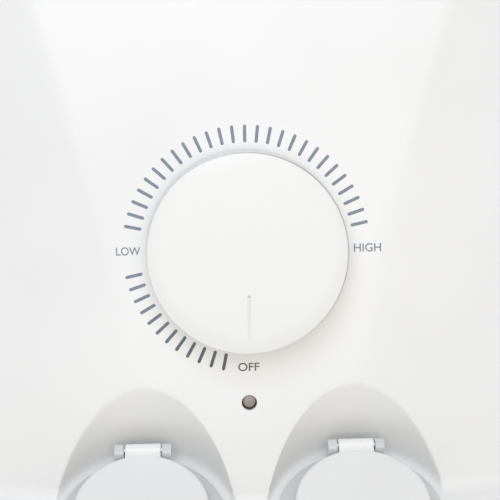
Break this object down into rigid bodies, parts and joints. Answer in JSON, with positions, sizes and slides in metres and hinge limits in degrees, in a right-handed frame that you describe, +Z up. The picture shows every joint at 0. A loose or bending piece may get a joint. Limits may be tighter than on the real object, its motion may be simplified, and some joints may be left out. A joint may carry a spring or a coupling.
{
  "type": "boot dryer",
  "caption": "White forced-air boot and glove dryer with a sloping console, a large rotary control, telescopic boot tubes and capped glove outlets.",
  "frame": {"origin": "on the floor, at the middle of the dryer's footprint", "axes": "+Z up, +Y towards the back, +X to the right of somebody facing the console"},
  "size_m": [0.3, 0.236, 0.4064],
  "materials": {
    "white_shell": "satin gloss moulding",
    "white_dial": "satin gloss moulding",
    "pale_tube": "fine matt moulding",
    "rubber": "matt",
    "zinc_steel": "bright zinc plate",
    "aluminium": "extruded",
    "black_plastic": "fine matt moulding",
    "lamp_lens": "smoked, polished",
    "board": "solder mask",
    "foam": "open-cell foam",
    "ceramic": "bare ceramic and mica",
    "brass": "turned"
  },
  "bodies": {
    "housing": {"upper_housing": "white_shell", "base_tray": "white_shell", "foot_front_left": "rubber", "foot_front_right": "rubber", "foot_rear_left": "rubber", "foot_rear_right": "rubber", "tray_screw_1": "zinc_steel", "tray_screw_2": "zinc_steel", "tray_screw_3": "zinc_steel", "tray_screw_4": "zinc_steel", "speed_control": "zinc_steel", "control_washer": "zinc_steel", "control_nut": "brass", "control_board": "board", "board_screw_1": "zinc_steel", "board_screw_2": "zinc_steel", "board_screw_3": "zinc_steel", "board_screw_4": "zinc_steel", "indicator_lamp": "lamp_lens", "lamp_holder": "black_plastic", "heat_sink": "aluminium", "capacitor": "black_plastic", "terminal_block": "black_plastic", "blower_casing": "black_plastic", "blower_cover": "black_plastic", "motor": "zinc_steel", "motor_bracket": "zinc_steel", "heater_frame": "ceramic", "heater_element": "zinc_steel", "thermal_cutout": "black_plastic", "plenum_tray": "pale_tube", "plenum_cover": "pale_tube", "riser_duct_left": "pale_tube", "riser_duct_right": "pale_tube", "port_collar_left": "pale_tube", "port_collar_right": "pale_tube", "boot_tube_left": "pale_tube", "boot_tube_right": "pale_tube", "glove_port_left": "pale_tube", "glove_port_right": "pale_tube", "cap_pin_left": "zinc_steel", "cap_pin_right": "zinc_steel", "power_inlet": "black_plastic", "inlet_lead": "black_plastic"},
    "dial": {"control_knob": "white_dial", "control_shaft": "aluminium"},
    "fan": {"impeller": "black_plastic", "motor_shaft": "zinc_steel"},
    "grille": {"intake_grille": "pale_tube", "filter_foam": "foam"},
    "extension_left": {"extension_tube_left": "pale_tube"},
    "head_left": {"tube_head_left": "pale_tube"},
    "ring_left": {"lock_ring_left": "black_plastic"},
    "cap_left": {"port_cap_left": "white_shell"},
    "extension_right": {"extension_tube_right": "pale_tube"},
    "head_right": {"tube_head_right": "pale_tube"},
    "ring_right": {"lock_ring_right": "black_plastic"},
    "cap_right": {"port_cap_right": "white_shell"}
  },
  "joints": [
    {"name": "knob_turn", "type": "hinge", "parent": "housing", "child": "dial", "pos_m": [0, -0.02, 0.14], "axis": [0, 0.8192, -0.5736], "range_deg": [0, 270]},
    {"name": "fan_spin", "type": "hinge", "parent": "housing", "child": "fan", "pos_m": [0, 0.05, 0.142], "axis": [0, 1, 0], "continuous": true},
    {"name": "grille_pull", "type": "slide", "parent": "housing", "child": "grille", "axis": [0, 1, 0], "range_m": [0, 0.03]},
    {"name": "extension_slide_left", "type": "slide", "parent": "housing", "child": "extension_left", "axis": [0, 0, 1], "range_m": [0, 0.085]},
    {"name": "head_swivel_left", "type": "hinge", "parent": "extension_left", "child": "head_left", "pos_m": [-0.092, 0.075, 0.38], "axis": [0, 0, 1], "range_deg": [-180, 180]},
    {"name": "ring_twist_left", "type": "hinge", "parent": "housing", "child": "ring_left", "pos_m": [-0.092, 0.075, 0.33], "axis": [0, 0, 1], "range_deg": [0, 60]},
    {"name": "cap_flip_left", "type": "hinge", "parent": "housing", "child": "cap_left", "pos_m": [-0.036, -0.0535, 0.0806], "axis": [-1, 0, 0], "range_deg": [0, 85]},
    {"name": "extension_slide_right", "type": "slide", "parent": "housing", "child": "extension_right", "axis": [0, 0, 1], "range_m": [0, 0.085]},
    {"name": "head_swivel_right", "type": "hinge", "parent": "extension_right", "child": "head_right", "pos_m": [0.092, 0.075, 0.38], "axis": [0, 0, 1], "range_deg": [-180, 180]},
    {"name": "ring_twist_right", "type": "hinge", "parent": "housing", "child": "ring_right", "pos_m": [0.092, 0.075, 0.33], "axis": [0, 0, 1], "range_deg": [0, 60]},
    {"name": "cap_flip_right", "type": "hinge", "parent": "housing", "child": "cap_right", "pos_m": [0.036, -0.0535, 0.0806], "axis": [-1, 0, 0], "range_deg": [0, 85]}
  ]
}
